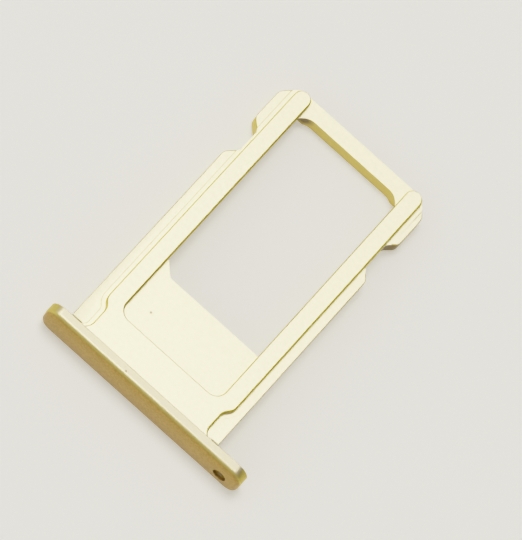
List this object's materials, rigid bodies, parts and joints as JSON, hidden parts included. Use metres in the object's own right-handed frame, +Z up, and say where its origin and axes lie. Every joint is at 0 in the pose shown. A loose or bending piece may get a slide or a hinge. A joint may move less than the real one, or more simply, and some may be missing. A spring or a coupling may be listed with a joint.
{
  "type": "sim card tray",
  "caption": "Slim metal tray that carries a nano-size SIM card: round-cornered end plate with an eject-pin hole, rails round an open card pocket, and notched side flanges.",
  "frame": {"origin": "bottom centre of the tray's box, level with the lower edge of the end plate", "axes": "+Y from the end plate into the phone, +Z up towards the relieved side, +X towards the pin hole"},
  "size_m": [0.014, 0.0198, 0.0023],
  "materials": {
    "anodised_aluminium": "bead blasted and anodised pale gold"
  },
  "bodies": {
    "root": {"sim_tray": "anodised_aluminium"}
  },
  "joints": []
}
